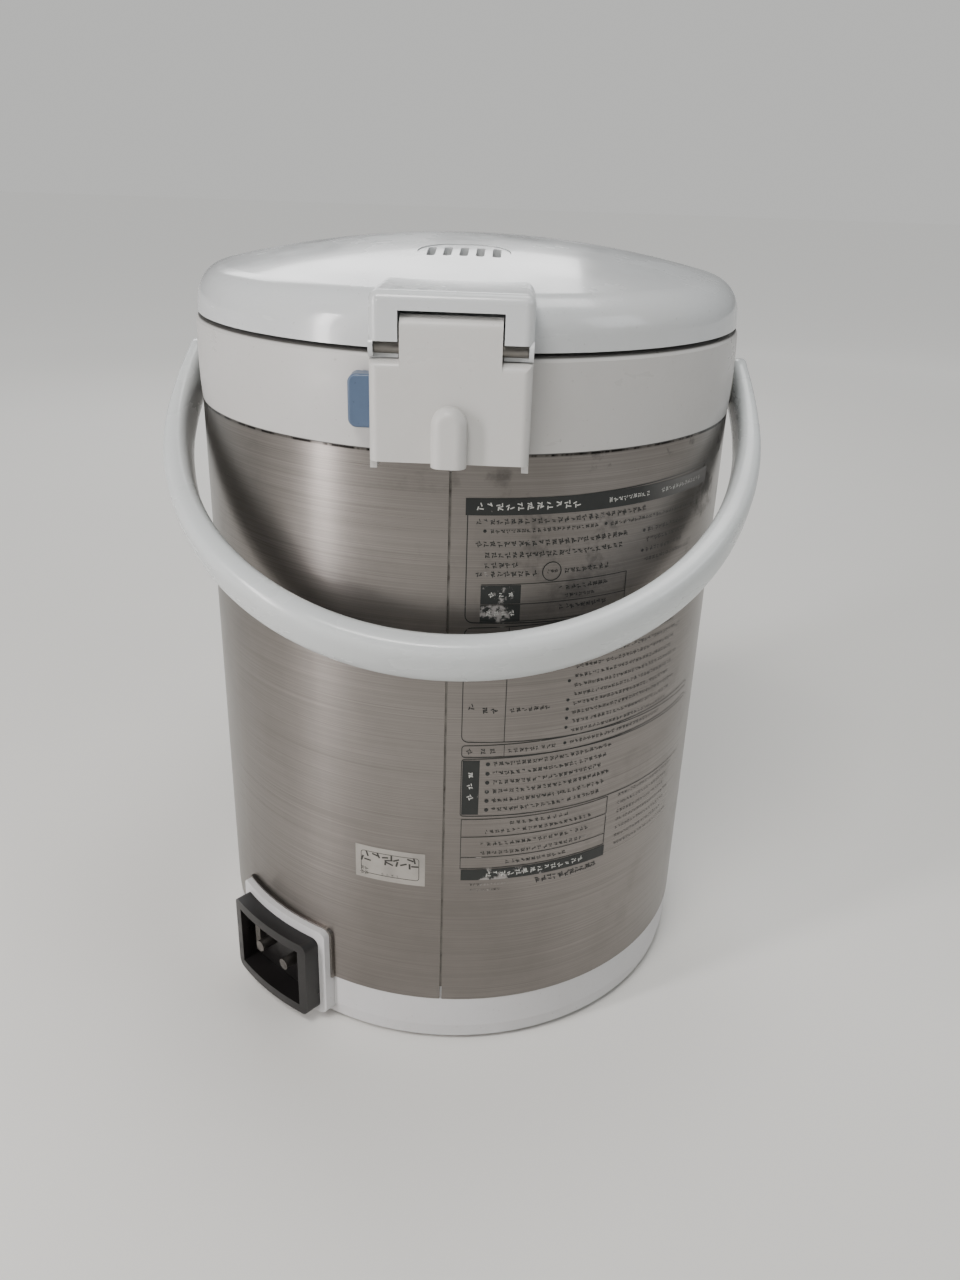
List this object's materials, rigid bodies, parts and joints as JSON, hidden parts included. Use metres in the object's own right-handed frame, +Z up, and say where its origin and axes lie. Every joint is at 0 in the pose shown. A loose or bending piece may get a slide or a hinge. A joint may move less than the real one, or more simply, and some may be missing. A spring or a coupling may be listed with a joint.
{
  "type": "electric hot water dispenser pot",
  "caption": "Electric hot water pot with a steel shell, domed hinged lid, bail handle, front spout housing with buttons and a rear plug inlet.",
  "frame": {"origin": "on the body's axis, at the plane that the foot ring stands on", "axes": "+Z up along the body's axis, -Y to the front with the spout, +Y to the rear with the lid's hinge"},
  "size_m": [0.2142, 0.2828, 0.29],
  "materials": {
    "grey_plastic": "semi-gloss moulded, light warm grey",
    "lid_plastic": "glossy moulded, light grey",
    "handle_plastic": "glossy moulded, off-white grey",
    "base_plastic": "semi-gloss moulded, off-white",
    "dark_plastic": "satin, dark grey",
    "black_plastic": "gloss black",
    "inner_plastic": "natural white",
    "blue_plastic": "semi-gloss grey-blue",
    "shell_steel": "brushed round the body",
    "vessel_steel": "satin",
    "pin_steel": "dull",
    "bright_metal": "polished",
    "magnet": "matt",
    "heater_mica": "mica sheet in a metal band",
    "silicone": "translucent white silicone",
    "foot_rubber": "matt",
    "felt": "pressed felt",
    "glass_tube": "clear",
    "clear_plastic": "clear, gloss",
    "display": "grey-green display",
    "lamp": "translucent orange",
    "circuit": "green laminate",
    "wire": "white sleeved bundle",
    "button_green": "semi-gloss",
    "button_grey": "semi-gloss"
  },
  "bodies": {
    "body": {"band_heater": "heater_mica", "base_heater": "heater_mica", "base_ring": "base_plastic", "body_shell": "shell_steel", "bottom_cover": "inner_plastic", "bottom_screws": "bright_metal", "control_board": "circuit", "control_panel": "base_plastic", "delivery_hose": "silicone", "display_lens": "clear_plastic", "display_module": "display", "foot_ring": "foot_rubber", "gauge_scale": "inner_plastic", "gauge_window": "clear_plastic", "handle_pivots": "inner_plastic", "hinge_cover": "grey_plastic", "hinge_pin_fixed": "pin_steel", "indicator_lamps": "lamp", "inner_vessel": "vessel_steel", "insulation_jacket": "felt", "level_tube": "glass_tube", "magnet_plates": "pin_steel", "mouth_ring": "inner_plastic", "outlet_hose": "silicone", "plug_socket": "black_plastic", "power_board": "circuit", "pump_housing": "inner_plastic", "pump_motor": "bright_metal", "release_spring": "bright_metal", "shell_seam_strip": "pin_steel", "shoulder_ring": "grey_plastic", "socket_bezel": "base_plastic", "socket_pins": "bright_metal", "spout_housing": "grey_plastic", "spout_nozzle": "grey_plastic", "suction_pipe": "silicone", "thermistor": "bright_metal", "tie_rods": "bright_metal", "vessel_filter": "vessel_steel", "vessel_gasket": "silicone", "wire_harness": "wire"},
    "lid": {"lid_cover": "lid_plastic", "vent_cover": "lid_plastic", "lid_frame": "inner_plastic", "lid_gasket": "silicone", "inner_lid": "vessel_steel", "steam_valve": "inner_plastic", "lid_screws": "bright_metal"},
    "open_lever": {"open_lever": "lid_plastic"},
    "latch": {"latch": "inner_plastic"},
    "handle": {"handle_bail": "handle_plastic"},
    "release_lever": {"release_lever": "blue_plastic", "hinge_pin_sliding": "pin_steel"},
    "impeller": {"pump_impeller": "inner_plastic"},
    "motor_rotor": {"drive_magnet": "magnet"},
    "dispense_button": {"dispense_button": "button_green"},
    "unlock_button": {"unlock_button": "button_grey"},
    "reboil_button": {"reboil_button": "button_grey"},
    "keep_warm_button": {"keep_warm_button": "button_grey"}
  },
  "joints": [
    {"name": "lid_hinge", "type": "hinge", "parent": "body", "child": "lid", "pos_m": [0, 0.1069, 0.2663], "axis": [-1, 0, 0], "range_deg": [0, 95]},
    {"name": "open_lever_hinge", "type": "hinge", "parent": "lid", "child": "open_lever", "pos_m": [0, -0.0825, 0.27629], "axis": [-1, 0, 0], "range_deg": [0, 15], "stiffness_Nm_per_rad": 0.3, "springref_deg": -11.46},
    {"name": "latch_slide", "type": "slide", "parent": "lid", "child": "latch", "axis": [0, 1, 0], "range_m": [0, 0.002], "stiffness_N_per_m": 400, "springref_m": -0.001},
    {"name": "handle_swing", "type": "hinge", "parent": "body", "child": "handle", "pos_m": [0, 0, 0.24], "axis": [1, 0, 0], "range_deg": [0, 165]},
    {"name": "release_slide", "type": "slide", "parent": "body", "child": "release_lever", "axis": [-1, 0, 0], "range_m": [0, 0.0045], "stiffness_N_per_m": 400, "springref_m": -0.003, "deforming": ["release_spring"]},
    {"name": "motor_spin", "type": "hinge", "parent": "body", "child": "motor_rotor", "pos_m": [-0.014, -0.038, 0.02], "axis": [0, 0, 1], "continuous": true},
    {"name": "impeller_spin", "type": "hinge", "parent": "body", "child": "impeller", "pos_m": [-0.014, -0.038, 0.03], "axis": [0, 0, 1], "continuous": true},
    {"name": "dispense_press", "type": "slide", "parent": "body", "child": "dispense_button", "axis": [0, 0.1461, -0.9893], "range_m": [0, 0.0015], "stiffness_N_per_m": 400, "springref_m": -0.001},
    {"name": "unlock_press", "type": "slide", "parent": "body", "child": "unlock_button", "axis": [0, 0.1461, -0.9893], "range_m": [0, 0.0015], "stiffness_N_per_m": 400, "springref_m": -0.001},
    {"name": "reboil_press", "type": "slide", "parent": "body", "child": "reboil_button", "axis": [0, 0.1461, -0.9893], "range_m": [0, 0.0015], "stiffness_N_per_m": 400, "springref_m": -0.001},
    {"name": "keep_warm_press", "type": "slide", "parent": "body", "child": "keep_warm_button", "axis": [0, 0.1461, -0.9893], "range_m": [0, 0.0015], "stiffness_N_per_m": 400, "springref_m": -0.001}
  ],
  "couplings": [
    {"joint": "impeller_spin", "follows": "motor_spin", "ratio": 1}
  ]
}
